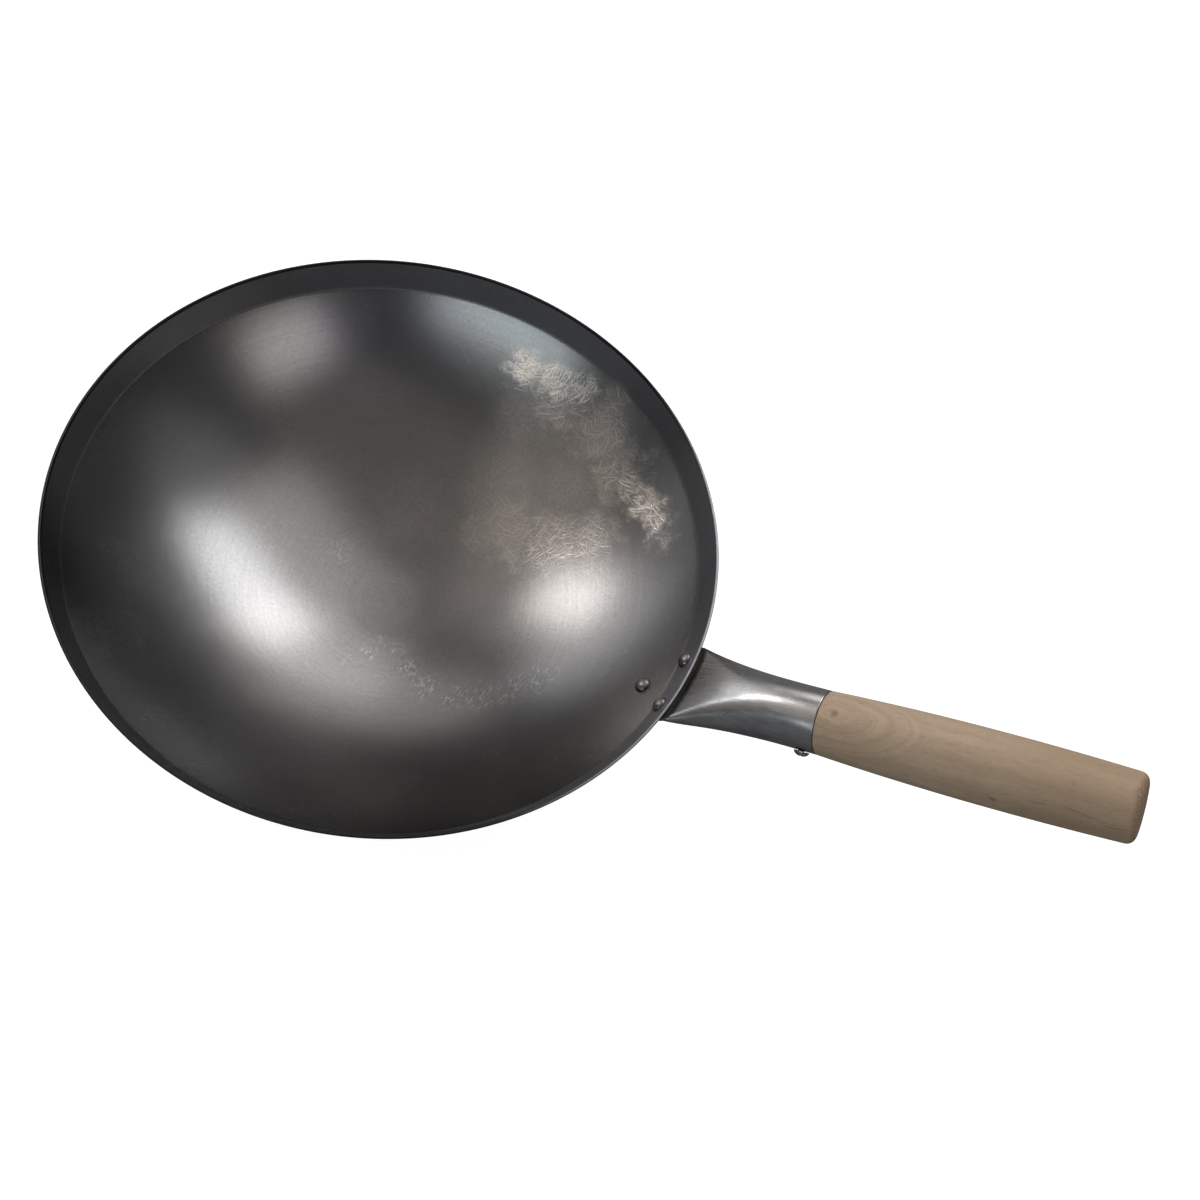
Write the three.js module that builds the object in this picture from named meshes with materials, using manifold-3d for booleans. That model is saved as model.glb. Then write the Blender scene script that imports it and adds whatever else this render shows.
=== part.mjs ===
// A spun carbon-steel wok with one long handle.
// Millimetres, +Z up. The origin is the middle of the small flat under the bowl, and +X runs towards the handle.
// Seven pieces: bowl, handle socket, wooden grip, three rivets and the screw that holds the grip.

import * as THREE from "three";
import { mergeVertices } from "three/addons/utils/BufferGeometryUtils.js";
import Module from "manifold-3d";

const wasm = await Module();
wasm.setup();

// Bowl: sheet steel, spherical, with a steep band under the rim that starts at a crease
const RIM_DIAMETER = 360;
const BOWL_DEPTH = 101;
const SHEET = 1.5;
const BAND_HEIGHT = 17.2;
const BAND_LEAN = THREE.MathUtils.degToRad(19.6);
const BASE_FLAT_DIAMETER = 45;

// Handle: how it leaves the bowl
const HANDLE_RISE = THREE.MathUtils.degToRad(29.6);
const BEND_RADIUS = 6;
const BEND_ABOVE_RIVETS = 6.2;

// Socket: a round tube whose end is pressed flat and trimmed to a tongue
const SOCKET_DIAMETER = 33;
const SOCKET_WALL = 1.5;
const SOCKET_LENGTH = 80;
const FLATTENED_LENGTH = 64;
const BOW_FADE_LENGTH = 25;
const TONGUE_TIP_RADIUS = 13;
const CAVITY_LEAST_HEIGHT = 7;

// Grip: turned wood with a peg inside the socket
const GRIP_LENGTH = 149;
const GRIP_MIDDLE_DIAMETER = 36.2;
const GRIP_END_DIAMETER = 32.8;
const GRIP_END_ROUNDING = 4.2;
const PEG_LENGTH = 42;
const PEG_CHAMFER = 1.5;

// Rivets: two side by side on the band, one below the crease
const UPPER_RIVET_RISE = 7.2;
const UPPER_RIVET_SPACING = 31;
const LOWER_RIVET_DROP = 18.2;
const RIVET_SHANK_DIAMETER = 4;
const RIVET_HEAD_DIAMETER = 9.2;
const RIVET_HEAD_HEIGHT = 3;
const RIVET_TAIL_DIAMETER = 8;
const RIVET_TAIL_HEIGHT = 2.2;

// Screw: pan head with a cross recess, low on the side of the socket near its mouth
const SCREW_INSET = 7.5;
const SCREW_TURN = THREE.MathUtils.degToRad(118);
const SCREW_HEAD_DIAMETER = 8;
const SCREW_HEAD_HEIGHT = 2.6;
const SCREW_SHANK_DIAMETER = 4;
const SCREW_LENGTH = 12;
const SCREW_POINT_LENGTH = 4;
const SCREW_TIP_DIAMETER = 0.8;
const RECESS_WIDTH = 1;
const RECESS_LENGTH = 4;
const RECESS_DEPTH = 1.4;

// Room between neighbouring pieces
const SEAT_GAP = 0.3;
const HOLE_CLEARANCE = 0.3;
const PEG_CLEARANCE = 0.35;
const CUT_OVERRUN = 0.8;

// Fineness of the faceted surfaces
const BOWL_SIDES = 84;
const BOWL_ARC_STEPS = 9;
const RIM_STEPS = 4;
const QUARTER_POINTS = 9;
const QUARTER_CROWDING = 1.4;
const TIP_STEPS = 6;
const TIP_START = THREE.MathUtils.degToRad(15);
const TONGUE_STEPS = 4;
const BEND_STEPS = 4;
const FLARE_STEPS = 11;
const GRIP_SIDES = 36;
const GRIP_STEPS = 10;
const ROUNDING_STEPS = 3;
const PEG_STEPS = 4;
const RIVET_SIDES = 18;
const DOME_STEPS = 4;
const SCREW_SIDES = 18;
const MERGE_DISTANCE = 1e-4;

const UP = new THREE.Vector3(0, 0, 1);

// Solids and geometry

// A closed geometry as a solid that can be joined and cut
function toSolid(geometry) {
  const bare = geometry.clone();
  bare.deleteAttribute("normal");
  bare.deleteAttribute("uv");
  const merged = mergeVertices(bare, MERGE_DISTANCE);
  const corners = merged.index.array;
  const triangles = [];
  for (let i = 0; i < corners.length; i += 3) {
    const [a, b, c] = [corners[i], corners[i + 1], corners[i + 2]];
    if (a !== b && b !== c && c !== a) {
      triangles.push(a, b, c);
    }
  }
  const vertProperties = Float32Array.from(merged.attributes.position.array);
  return new wasm.Manifold(new wasm.Mesh({ numProp: 3, vertProperties, triVerts: Uint32Array.from(triangles) }));
}

function toGeometry(solid) {
  const mesh = solid.getMesh();
  const geometry = new THREE.BufferGeometry();
  geometry.setAttribute("position", new THREE.BufferAttribute(mesh.vertProperties, 3));
  geometry.setIndex(new THREE.BufferAttribute(mesh.triVerts, 1));
  geometry.computeVertexNormals();
  return geometry;
}

// The geometry with each cutter taken out of it
function cut(geometry, cutters) {
  let solid = toSolid(geometry);
  for (const cutter of cutters) {
    solid = solid.subtract(toSolid(cutter));
  }
  return toGeometry(solid);
}

// A solid of revolution about +Z, from an outline of [radius, height] points that starts and ends on the axis
function turned(outline, sides) {
  const points = outline.map(([radius, height]) => new THREE.Vector2(Math.max(radius, 0), height));
  return new THREE.LatheGeometry(points, sides).rotateX(Math.PI / 2);
}

// A cylinder along +Z from one height to another
function rod(diameter, from, to, sides) {
  const geometry = new THREE.CylinderGeometry(diameter / 2, diameter / 2, to - from, sides);
  return geometry.rotateX(Math.PI / 2).translate(0, 0, (from + to) / 2);
}

// A frame at a point, with its own +Z along a direction
function frameAt(point, direction) {
  const turn = new THREE.Quaternion().setFromUnitVectors(UP, direction);
  return new THREE.Matrix4().compose(point, turn, new THREE.Vector3(1, 1, 1));
}

// A closed skin over rings of equally many points, with a fan over the first ring and over the last
function skin(rings) {
  const count = rings[0].length;
  const points = rings.flat();
  const index = [];
  for (let ring = 0; ring + 1 < rings.length; ring += 1) {
    for (let i = 0; i < count; i += 1) {
      const next = (i + 1) % count;
      const [a, b] = [ring * count + i, ring * count + next];
      const [c, d] = [a + count, b + count];
      index.push(a, b, c, b, d, c);
    }
  }
  const lastRing = (rings.length - 1) * count;
  const firstMiddle = points.push(middleOf(rings[0])) - 1;
  const lastMiddle = points.push(middleOf(rings[rings.length - 1])) - 1;
  for (let i = 0; i < count; i += 1) {
    const next = (i + 1) % count;
    index.push(firstMiddle, next, i);
    index.push(lastMiddle, lastRing + i, lastRing + next);
  }
  const geometry = new THREE.BufferGeometry().setFromPoints(points);
  geometry.setIndex(index);
  geometry.computeVertexNormals();
  return geometry;
}

function middleOf(ring) {
  const sum = ring.reduce((total, point) => total.add(point), new THREE.Vector3());
  return sum.divideScalar(ring.length);
}

function meshOf(name, geometry, material) {
  const mesh = new THREE.Mesh(geometry, material);
  mesh.name = name;
  return mesh;
}

// The wall of the bowl, drawn in the upright plane through the handle as (radius, height)

const rimHeight = SHEET + BOWL_DEPTH;
const bandUp = new THREE.Vector2(Math.sin(BAND_LEAN), Math.cos(BAND_LEAN));
const bandOut = new THREE.Vector2(bandUp.y, -bandUp.x);
const rimRounding = SHEET / 2;
const rimMiddle = new THREE.Vector2(RIM_DIAMETER / 2 - rimRounding, rimHeight - rimRounding);
const bandFoot = rimMiddle.clone().addScaledVector(bandOut, -rimRounding);
const crease = bandFoot.clone().addScaledVector(bandUp, -(bandFoot.y - rimHeight + BAND_HEIGHT) / bandUp.y);
const flatRadius = BASE_FLAT_DIAMETER / 2;
const centreHeight =
  (crease.x ** 2 - flatRadius ** 2 + crease.y ** 2 - SHEET ** 2) / (2 * (crease.y - SHEET));
const bowlCentre = new THREE.Vector2(0, centreHeight);
const bowlRadius = Math.hypot(flatRadius, centreHeight - SHEET);

// Angle round the bowl's centre, from straight down
function angleOf(point) {
  return Math.atan2(point.x, centreHeight - point.y);
}

function onArc(radius, angle) {
  return new THREE.Vector2(radius * Math.sin(angle), centreHeight - radius * Math.cos(angle));
}

// Where the spherical wall and the band meet, at a distance outside the inner face
function creaseAt(offset) {
  const start = crease.clone().addScaledVector(bandOut, offset);
  const fromCentre = start.clone().sub(bowlCentre);
  const along = fromCentre.dot(bandUp);
  const excess = fromCentre.lengthSq() - (bowlRadius + offset) ** 2;
  return start.addScaledVector(bandUp, -along - Math.sqrt(along ** 2 - excess));
}

function arcPoints(radius, from, to, steps) {
  return Array.from({ length: steps + 1 }, (_, i) => onArc(radius, from + ((to - from) * i) / steps));
}

function bowlOutline() {
  const outerRadius = bowlRadius + SHEET;
  const outerFlat = Math.sqrt(outerRadius ** 2 - centreHeight ** 2);
  const outerStart = Math.atan2(outerFlat, centreHeight);
  const outer = arcPoints(outerRadius, outerStart, angleOf(creaseAt(SHEET)), BOWL_ARC_STEPS);
  const inner = arcPoints(bowlRadius, angleOf(crease), angleOf({ x: flatRadius, y: SHEET }), BOWL_ARC_STEPS);
  const rim = Array.from({ length: RIM_STEPS + 1 }, (_, i) => {
    const angle = (Math.PI * i) / RIM_STEPS;
    return rimMiddle
      .clone()
      .addScaledVector(bandOut, rimRounding * Math.cos(angle))
      .addScaledVector(bandUp, rimRounding * Math.sin(angle));
  });
  const wall = [...outer, ...rim, ...inner].map((point) => [point.x, point.y]);
  return [[0, 0], ...wall, [0, SHEET]];
}

// Rivets: a place on the inner face of the wall and the way out through the wall

const tongueThickness = 2 * SOCKET_WALL;
const tailSeat = SHEET + SEAT_GAP + tongueThickness + SEAT_GAP;
const upperRow = crease.clone().addScaledVector(bandUp, UPPER_RIVET_RISE);
const lowerAngle = angleOf(crease) - LOWER_RIVET_DROP / bowlRadius;
const lowerPoint = onArc(bowlRadius, lowerAngle);
const lowerOut = new THREE.Vector2(Math.sin(lowerAngle), -Math.cos(lowerAngle));
const upperTurn = UPPER_RIVET_SPACING / 2 / upperRow.x;

// The frame of a rivet, with its own +Z out through the wall, turned round the bowl by an angle
function rivetFrame(point, outward, turn) {
  const place = new THREE.Vector3(point.x, 0, point.y).applyAxisAngle(UP, turn);
  const direction = new THREE.Vector3(outward.x, 0, outward.y).applyAxisAngle(UP, turn);
  return frameAt(place, direction);
}

const rivetFrames = {
  rivet_upper_left: rivetFrame(upperRow, bandOut, upperTurn),
  rivet_upper_right: rivetFrame(upperRow, bandOut, -upperTurn),
  rivet_lower: rivetFrame(lowerPoint, lowerOut, 0),
};

// A round dome from its edge to its crown, on a seat, as outline points
function dome(diameter, height, seat) {
  const ballRadius = ((diameter / 2) ** 2 + height ** 2) / (2 * height);
  const edgeAngle = Math.atan2(diameter / 2, ballRadius - height);
  return Array.from({ length: DOME_STEPS + 1 }, (_, i) => {
    const angle = edgeAngle * (1 - i / DOME_STEPS);
    return [ballRadius * Math.sin(angle), seat + height - ballRadius * (1 - Math.cos(angle))];
  });
}

function rivetGeometry() {
  const shank = RIVET_SHANK_DIAMETER / 2;
  const tail = dome(RIVET_TAIL_DIAMETER, RIVET_TAIL_HEIGHT, tailSeat);
  const head = dome(RIVET_HEAD_DIAMETER, RIVET_HEAD_HEIGHT, SEAT_GAP).map(([radius, height]) => [radius, -height]);
  return turned([...head.reverse(), [shank, -SEAT_GAP], [shank, tailSeat], ...tail], RIVET_SIDES);
}

// The holes for the rivets, through the wall and the tongue
function rivetHoles() {
  const diameter = RIVET_SHANK_DIAMETER + 2 * HOLE_CLEARANCE;
  return Object.values(rivetFrames).map((frame) =>
    rod(diameter, -CUT_OVERRUN, tailSeat + CUT_OVERRUN, RIVET_SIDES).applyMatrix4(frame),
  );
}

// The socket's middle line: up the outside of the wall, round a bend, then along the handle

const flatHalf = tongueThickness / 2;
const lineOffset = SHEET + SEAT_GAP + flatHalf;
const lineRadius = bowlRadius + lineOffset;
const lineCrease = creaseAt(lineOffset);
const handleAlong = new THREE.Vector2(Math.cos(HANDLE_RISE), Math.sin(HANDLE_RISE));
const handleUp = new THREE.Vector2(-handleAlong.y, handleAlong.x);
const bendCorner = upperRow
  .clone()
  .addScaledVector(bandOut, lineOffset)
  .addScaledVector(bandUp, BEND_ABOVE_RIVETS);
const bendTurn = Math.acos(bandUp.dot(handleAlong));
const bendTangent = BEND_RADIUS * Math.tan(bendTurn / 2);
const bendStart = bendCorner.clone().addScaledVector(bandUp, -bendTangent);
const bendMiddle = bendStart.clone().addScaledVector(bandOut, BEND_RADIUS);

// Half the flat stretch of a tube pressed to a half height, with the tube's girth kept
const quarterGirth = (Math.PI * SOCKET_DIAMETER) / 4;
function flatStretch(halfHeight) {
  return quarterGirth - (Math.PI * halfHeight) / 2;
}

// Half height of the tube at a distance along the handle from the end of the bend
function tubeHalfHeight(distance) {
  const share = THREE.MathUtils.clamp(distance / FLATTENED_LENGTH, 0, 1);
  return flatHalf + (SOCKET_DIAMETER / 2 - flatHalf) * (1 - (1 - share) ** 2);
}

// The tongue's half width: a round tip about the lower rivet with straight sides that run out to the full flat width
const arcAboveRivet = lineRadius * (angleOf(lineCrease) - lowerAngle);
const tongueReach = arcAboveRivet + lineCrease.distanceTo(bendStart);
const fullHalfWidth = flatStretch(flatHalf) + flatHalf;
const tongueFlare =
  Math.acos(TONGUE_TIP_RADIUS / Math.hypot(fullHalfWidth, tongueReach)) - Math.atan2(tongueReach, fullHalfWidth);
function tongueHalfWidth(reach) {
  return TONGUE_TIP_RADIUS / Math.cos(tongueFlare) + reach * Math.tan(tongueFlare);
}

// One station of the socket: a point and the upward normal of the middle line there, and the section's sizes
function station(point, normal, halfWidth, halfHeight, bow, stretch = 1) {
  return { point, normal, flat: halfWidth - halfHeight, halfHeight, bow, stretch };
}

function tongueStations() {
  const stations = [];
  const addOnArc = (reach, halfWidth) => {
    const angle = lowerAngle + reach / lineRadius;
    const normal = new THREE.Vector2(-Math.sin(angle), Math.cos(angle));
    stations.push(station(onArc(lineRadius, angle), normal, halfWidth, flatHalf, 1));
  };
  const tipEnd = Math.PI / 2 - tongueFlare;
  for (let i = 0; i <= TIP_STEPS; i += 1) {
    const angle = TIP_START + ((tipEnd - TIP_START) * i) / TIP_STEPS;
    addOnArc(-TONGUE_TIP_RADIUS * Math.cos(angle), TONGUE_TIP_RADIUS * Math.sin(angle));
  }
  const straightStart = -TONGUE_TIP_RADIUS * Math.cos(tipEnd);
  for (let i = 1; i < TONGUE_STEPS; i += 1) {
    const reach = straightStart + ((arcAboveRivet - straightStart) * i) / TONGUE_STEPS;
    addOnArc(reach, tongueHalfWidth(reach));
  }
  const creaseAngle = angleOf(lineCrease);
  const arcNormal = new THREE.Vector2(-Math.sin(creaseAngle), Math.cos(creaseAngle));
  const bandNormal = bandOut.clone().negate();
  const mitre = arcNormal.clone().add(bandNormal).normalize();
  stations.push(
    station(lineCrease, mitre, tongueHalfWidth(arcAboveRivet), flatHalf, 1, 1 / mitre.dot(bandNormal)),
  );
  return stations;
}

function bendStations() {
  return Array.from({ length: BEND_STEPS + 1 }, (_, i) => {
    const angle = (bendTurn * i) / BEND_STEPS;
    const normal = bandOut.clone().negate().rotateAround(new THREE.Vector2(), -angle);
    const point = bendMiddle.clone().addScaledVector(normal, BEND_RADIUS);
    return station(point, normal, fullHalfWidth, flatHalf, 1);
  });
}

function tubeStation(distance) {
  const point = bendCorner.clone().addScaledVector(handleAlong, distance);
  const fromBend = distance - bendTangent;
  const halfHeight = tubeHalfHeight(fromBend);
  const bow = (1 - THREE.MathUtils.clamp(fromBend / BOW_FADE_LENGTH, 0, 1)) ** 2;
  return station(point, handleUp, flatStretch(halfHeight) + halfHeight, halfHeight, bow);
}

function tubeStations() {
  const stations = [];
  for (let i = 1; i <= FLARE_STEPS; i += 1) {
    stations.push(tubeStation(bendTangent + (FLATTENED_LENGTH * i) / FLARE_STEPS));
  }
  stations.push(tubeStation(SOCKET_LENGTH));
  return stations;
}

// One point of a section's first quarter and the way out of the face there, both as across and up:
// round the side, then along the flat to the middle
function quarterPoint(flat, halfHeight, share) {
  const roundLength = (Math.PI * halfHeight) / 2;
  const length = share * (flat + roundLength);
  if (length <= roundLength) {
    const angle = length / halfHeight;
    return [flat + halfHeight * Math.cos(angle), halfHeight * Math.sin(angle), Math.cos(angle), Math.sin(angle)];
  }
  return [flat - (length - roundLength), halfHeight, 0, 1];
}

// The ring of points of a station, drawn in by a depth from the outer face
function ringAt({ point, normal, flat, halfHeight, bow, stretch }, depth) {
  const quarter = Array.from({ length: QUARTER_POINTS + 1 }, (_, i) => {
    const share = (i / QUARTER_POINTS) ** QUARTER_CROWDING;
    const [across, up, outAcross, outUp] = quarterPoint(flat, halfHeight, share);
    return [across - depth * outAcross, up - depth * outUp];
  });
  const upper = [...quarter, ...quarter.slice(0, -1).reverse().map(([across, up]) => [-across, up])];
  const lower = upper.slice(1, -1).reverse().map(([across, up]) => [across, -up]);
  return [...upper, ...lower].map(([across, up]) => {
    const place = point.clone().addScaledVector(normal, up * stretch);
    const turn = (bow * across) / point.x;
    return new THREE.Vector3(
      place.x * Math.cos(turn),
      place.x * Math.sin(turn) + (1 - bow) * across,
      place.y,
    );
  });
}

function socketGeometry() {
  const tube = tubeStations();
  const outer = [...tongueStations(), ...bendStations(), ...tube].map((each) => ringAt(each, 0));
  const hollow = tube.filter((each) => 2 * (each.halfHeight - SOCKET_WALL) >= CAVITY_LEAST_HEIGHT);
  const inner = hollow.reverse().map((each) => ringAt(each, SOCKET_WALL));
  return skin([...outer, ...inner]);
}

// The handle's own frame: +Z along the handle from the bend, +X up, so +Y points to the world's -Y

const handle = new THREE.Group();
handle.applyMatrix4(
  new THREE.Matrix4()
    .makeBasis(
      new THREE.Vector3(handleUp.x, 0, handleUp.y),
      new THREE.Vector3(0, -1, 0),
      new THREE.Vector3(handleAlong.x, 0, handleAlong.y),
    )
    .setPosition(bendCorner.x, 0, bendCorner.y),
);
handle.updateMatrix();

// The grip, with its peg shaped to the inside of the socket
function gripGeometry() {
  const outline = [];
  const pegStart = SOCKET_LENGTH - PEG_LENGTH;
  const pegRadius = (along) => tubeHalfHeight(along - bendTangent) - SOCKET_WALL - PEG_CLEARANCE;
  outline.push([0, pegStart], [pegRadius(pegStart) - PEG_CHAMFER, pegStart]);
  for (let i = 0; i <= PEG_STEPS; i += 1) {
    const along = pegStart + PEG_CHAMFER + ((PEG_LENGTH - PEG_CHAMFER) * i) / PEG_STEPS;
    outline.push([pegRadius(along), along]);
  }
  const shoulder = SOCKET_LENGTH + SEAT_GAP;
  const end = SOCKET_LENGTH + GRIP_LENGTH;
  const [startRadius, endRadius] = [SOCKET_DIAMETER / 2, GRIP_END_DIAMETER / 2];
  outline.push([pegRadius(SOCKET_LENGTH), shoulder]);
  const swell = GRIP_MIDDLE_DIAMETER / 2 - (startRadius + endRadius) / 2;
  for (let i = 0; i <= GRIP_STEPS; i += 1) {
    const share = i / GRIP_STEPS;
    const along = shoulder + (end - GRIP_END_ROUNDING - shoulder) * share;
    outline.push([THREE.MathUtils.lerp(startRadius, endRadius, share) + swell * 4 * share * (1 - share), along]);
  }
  for (let i = 1; i <= ROUNDING_STEPS; i += 1) {
    const angle = (Math.PI / 2) * (i / ROUNDING_STEPS);
    outline.push([
      endRadius - GRIP_END_ROUNDING * (1 - Math.cos(angle)),
      end - GRIP_END_ROUNDING * (1 - Math.sin(angle)),
    ]);
  }
  outline.push([0, end]);
  return turned(outline, GRIP_SIDES);
}

// The screw stands on the socket's outer face, with its own +Z out of the handle

const screwOut = new THREE.Vector3(Math.cos(SCREW_TURN), Math.sin(SCREW_TURN), 0);
const screwSeat = screwOut
  .clone()
  .multiplyScalar(SOCKET_DIAMETER / 2 + SEAT_GAP)
  .add(new THREE.Vector3(0, 0, SOCKET_LENGTH - SCREW_INSET));
const screwFrame = frameAt(screwSeat, screwOut);

function screwGeometry() {
  const shank = SCREW_SHANK_DIAMETER / 2;
  const tip = SCREW_TIP_DIAMETER / 2;
  const body = turned(
    [
      [0, -SCREW_LENGTH],
      [tip, -SCREW_LENGTH],
      [shank, SCREW_POINT_LENGTH - SCREW_LENGTH],
      [shank, 0],
      ...dome(SCREW_HEAD_DIAMETER, SCREW_HEAD_HEIGHT, 0),
    ],
    SCREW_SIDES,
  );
  const recess = [
    [RECESS_LENGTH, RECESS_WIDTH],
    [RECESS_WIDTH, RECESS_LENGTH],
  ].map(([along, across]) => {
    const depth = RECESS_DEPTH + CUT_OVERRUN;
    return new THREE.BoxGeometry(along, across, depth).translate(0, 0, SCREW_HEAD_HEIGHT - RECESS_DEPTH + depth / 2);
  });
  return cut(body, recess);
}

// The hole for the screw, through the socket's wall and into the peg
function screwHole() {
  const diameter = SCREW_SHANK_DIAMETER + 2 * HOLE_CLEARANCE;
  return rod(diameter, -SCREW_LENGTH - CUT_OVERRUN, CUT_OVERRUN, SCREW_SIDES).applyMatrix4(screwFrame);
}

// Materials

const carbonSteel = new THREE.MeshStandardMaterial({ color: 0x55514e, roughness: 0.35, metalness: 1 });
const socketSteel = new THREE.MeshStandardMaterial({ color: 0x8d8a88, roughness: 0.28, metalness: 1 });
const rivetSteel = new THREE.MeshStandardMaterial({ color: 0x6b6866, roughness: 0.35, metalness: 1 });
const screwSteel = new THREE.MeshStandardMaterial({ color: 0xa39d92, roughness: 0.25, metalness: 1 });
const paleWood = new THREE.MeshStandardMaterial({ color: 0xb09a82, roughness: 0.7, metalness: 0 });

// The wok

const wok = new THREE.Group();
wok.add(meshOf("bowl", cut(turned(bowlOutline(), BOWL_SIDES), rivetHoles()), carbonSteel));

const socketHoles = [...rivetHoles(), screwHole().applyMatrix4(handle.matrix)];
wok.add(meshOf("handle_socket", cut(socketGeometry(), socketHoles), socketSteel));

for (const [name, frame] of Object.entries(rivetFrames)) {
  const rivet = meshOf(name, rivetGeometry(), rivetSteel);
  rivet.applyMatrix4(frame);
  wok.add(rivet);
}

handle.add(meshOf("handle_grip", cut(gripGeometry(), [screwHole()]), paleWood));
const screw = meshOf("handle_screw", screwGeometry(), screwSteel);
screw.applyMatrix4(screwFrame);
handle.add(screw);
wok.add(handle);

export default wok;
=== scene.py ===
# A spun carbon-steel wok with one long wooden handle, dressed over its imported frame.
# Metres, +Z up. The origin is the middle of the small flat under the bowl, and +X runs towards the handle.

import math

import bmesh
import bpy
from mathutils import Matrix, Vector


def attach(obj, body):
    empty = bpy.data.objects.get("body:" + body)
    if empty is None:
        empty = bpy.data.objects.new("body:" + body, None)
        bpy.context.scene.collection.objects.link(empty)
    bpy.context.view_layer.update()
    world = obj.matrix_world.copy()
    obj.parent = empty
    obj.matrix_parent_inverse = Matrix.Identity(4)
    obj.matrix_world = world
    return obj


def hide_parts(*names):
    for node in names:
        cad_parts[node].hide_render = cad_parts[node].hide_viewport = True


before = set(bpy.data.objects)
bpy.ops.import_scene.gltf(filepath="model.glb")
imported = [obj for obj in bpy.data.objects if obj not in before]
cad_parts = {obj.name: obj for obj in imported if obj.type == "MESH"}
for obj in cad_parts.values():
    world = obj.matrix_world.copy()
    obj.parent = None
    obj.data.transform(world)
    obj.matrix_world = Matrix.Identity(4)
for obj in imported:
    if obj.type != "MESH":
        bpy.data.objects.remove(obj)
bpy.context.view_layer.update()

# Bowl
RIM_DIAMETER = 0.360
BOWL_DEPTH = 0.101
SHEET = 0.0015
BAND_HEIGHT = 0.0172
BAND_LEAN = math.radians(19.6)
BASE_FLAT_DIAMETER = 0.045
CREASE_SOFTNESS = 0.0012
FLAT_EDGE_SOFTNESS = 0.005
INSIDE_DISH = 0.7

# Handle and socket
HANDLE_RISE = math.radians(29.6)
BEND_RADIUS = 0.006
BEND_ABOVE_RIVETS = 0.0062
SOCKET_DIAMETER = 0.033
SOCKET_WALL = 0.0015
SOCKET_LENGTH = 0.080
FLATTENED_LENGTH = 0.064
BOW_FADE_LENGTH = 0.025
OVAL_SHARE = 0.3
OVAL_EASE_LENGTH = 0.030
TONGUE_TIP_RADIUS = 0.013
CAVITY_LEAST_HEIGHT = 0.007
MOUTH_ROUNDING = 0.0004
LAYER_GROOVE_DEPTH = 0.0005
LAYER_GROOVE_FADE = 0.009

# Grip
GRIP_LENGTH = 0.149
GRIP_MIDDLE_DIAMETER = 0.0362
GRIP_END_DIAMETER = 0.0328
GRIP_END_ROUNDING = 0.0042
PEG_LENGTH = 0.042
PEG_CHAMFER = 0.0015
SHOULDER_ROUNDING = 0.0006

# Rivets
UPPER_RIVET_RISE = 0.0072
UPPER_RIVET_SPACING = 0.031
LOWER_RIVET_DROP = 0.0182
RIVET_SHANK_DIAMETER = 0.004
RIVET_HEAD_DIAMETER = 0.0092
RIVET_HEAD_HEIGHT = 0.003
RIVET_TAIL_DIAMETER = 0.008
RIVET_TAIL_HEIGHT = 0.0022
HAMMER_MARKS = 7
HAMMER_TILT = math.radians(62)
HAMMER_DEPTH = 0.05
HAMMER_TURN = math.radians(137.5)

# Screw
SCREW_INSET = 0.0075
SCREW_TURN = math.radians(118)
SCREW_HEAD_DIAMETER = 0.008
SCREW_HEAD_HEIGHT = 0.0026
SCREW_SHANK_DIAMETER = 0.004
SCREW_LENGTH = 0.012
SCREW_POINT_LENGTH = 0.004
SCREW_TIP_DIAMETER = 0.0008
SCREW_PITCH = 0.0016
THREAD_DEPTH = 0.0005
RECESS_WIDTH = 0.001
RECESS_LENGTH = 0.004
RECESS_DEPTH = 0.0014
SHARP_ANGLE = math.radians(40)

# Room between neighbouring pieces
SEAT_GAP = 0.0003
PEG_CLEARANCE = 0.00035

# Fineness of the meshes
BOWL_SIDES = 320
BOTTOM_STEPS = 8
ARC_STEPS = 72
SOFT_STEPS = 6
BAND_STEPS = 8
RIM_STEPS = 10
QUARTER_POINTS = 26
QUARTER_CROWDING = 1.4
TIP_START = math.radians(6)
TIP_STEPS = 20
TONGUE_STEPS = 14
BEND_STEPS = 12
FLARE_STEPS = 64
GRIP_SIDES = 96
GRIP_STEPS = 48
RIVET_SIDES = 64
DOME_STEPS = 24
SCREW_SIDES = 48
THREAD_STEPS = 60

# Camera, as solved from the photograph's rim and crease
CAMERA_PLACE = Vector((0.16932, -0.30042, 0.66531))
CAMERA_ALONG = Vector((-0.07870, 0.48847, -0.86902))
CAMERA_UP = Vector((-0.49654, 0.73669, 0.45906))
PHOTO_PIXELS = 1200
FOCAL_PIXELS = 1200
SENSOR_MILLIMETRES = 36.0

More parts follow.
